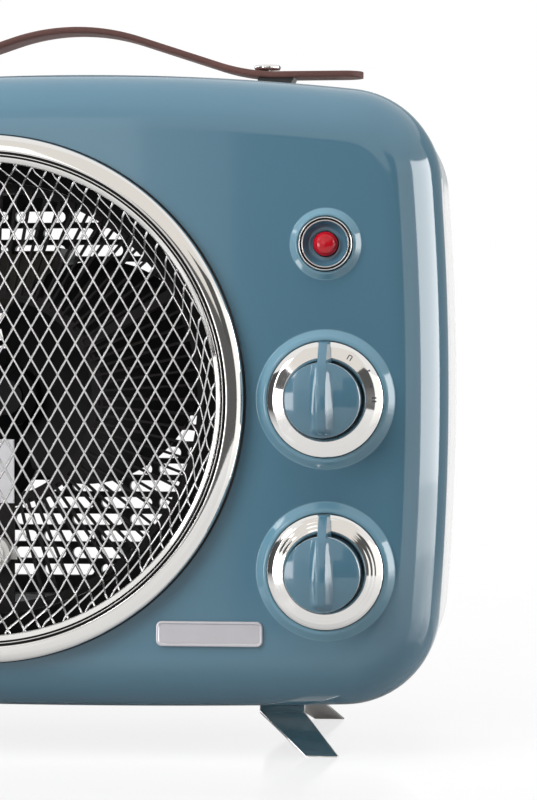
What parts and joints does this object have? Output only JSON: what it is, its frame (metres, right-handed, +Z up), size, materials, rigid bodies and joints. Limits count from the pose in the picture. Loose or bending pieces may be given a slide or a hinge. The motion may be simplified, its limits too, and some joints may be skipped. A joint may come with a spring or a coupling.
{
  "type": "fan heater",
  "caption": "Table-top fan heater: rounded two-part case on splayed feet, round mesh grille, two finned dial knobs, pilot lamp and a carrying strap on top",
  "frame": {"origin": "middle of the box at floor level, under the feet", "axes": "+X to the right as seen from the front, +Y to the rear, +Z up"},
  "size_m": [0.278, 0.159, 0.2645],
  "materials": {
    "shell_blue": "gloss moulded",
    "shell_white": "gloss moulded",
    "black_plastic": "moulded",
    "chrome": "polished",
    "galvanised": "zinc plated sheet",
    "steel": "plain",
    "mica": "pressed board",
    "heating_wire": "oxidised",
    "ceramic": "glazed",
    "coil_tape": "taped",
    "bronze": "sintered",
    "fan_black": "moulded",
    "lens_red": "clear red",
    "badge_silver": "stamped",
    "leather_brown": "smooth"
  },
  "bodies": {
    "case": {"air_duct": "galvanised", "arm_screws": "steel", "badge_plate": "badge_silver", "carry_strap": "leather_brown", "case_screws": "steel", "cord_gland": "black_plastic", "cutout_board": "mica", "duct_screws": "steel", "element_frame": "mica", "foot_front_left": "chrome", "foot_front_right": "chrome", "foot_rear_left": "chrome", "foot_rear_right": "chrome", "foot_screws": "steel", "front_bridge": "galvanised", "front_shell": "shell_blue", "grille_ring": "chrome", "heating_wire_front": "heating_wire", "heating_wire_rear": "heating_wire", "intake_grille": "black_plastic", "mesh_grille": "chrome", "motor_arm_left": "galvanised", "motor_arm_right": "galvanised", "motor_bobbin": "black_plastic", "motor_bolts": "steel", "motor_bushes": "bronze", "motor_coil": "coil_tape", "motor_stack": "steel", "pilot_bezel": "chrome", "pilot_clip": "galvanised", "pilot_lamp": "black_plastic", "pilot_lens": "lens_red", "rear_bridge": "galvanised", "rear_shell": "shell_white", "selector_dial": "chrome", "selector_nut": "steel", "selector_switch": "black_plastic", "strap_nuts": "steel", "strap_seats": "black_plastic", "strap_studs": "chrome", "terminal_block": "black_plastic", "thermal_cutout": "ceramic", "thermostat_blades": "steel", "thermostat_dial": "chrome", "thermostat_frame": "galvanised", "thermostat_nut": "steel", "thermostat_stack": "ceramic"},
    "selector": {"selector_knob": "shell_blue", "selector_spindle": "steel"},
    "thermostat": {"thermostat_knob": "shell_blue", "thermostat_spindle": "steel"},
    "fan": {"fan_blades": "fan_black", "motor_shaft": "steel", "motor_rotor": "steel"}
  },
  "joints": [
    {"name": "selector_turn", "type": "hinge", "parent": "case", "child": "selector", "pos_m": [0.0966, -0.0555, 0.1278], "axis": [0, 1, 0], "range_deg": [0, 90]},
    {"name": "thermostat_turn", "type": "hinge", "parent": "case", "child": "thermostat", "pos_m": [0.0966, -0.0555, 0.0674], "axis": [0, 1, 0], "range_deg": [-135, 135]},
    {"name": "fan_spin", "type": "hinge", "parent": "case", "child": "fan", "pos_m": [-0.0255, 0, 0.1278], "axis": [0, 1, 0], "continuous": true}
  ]
}
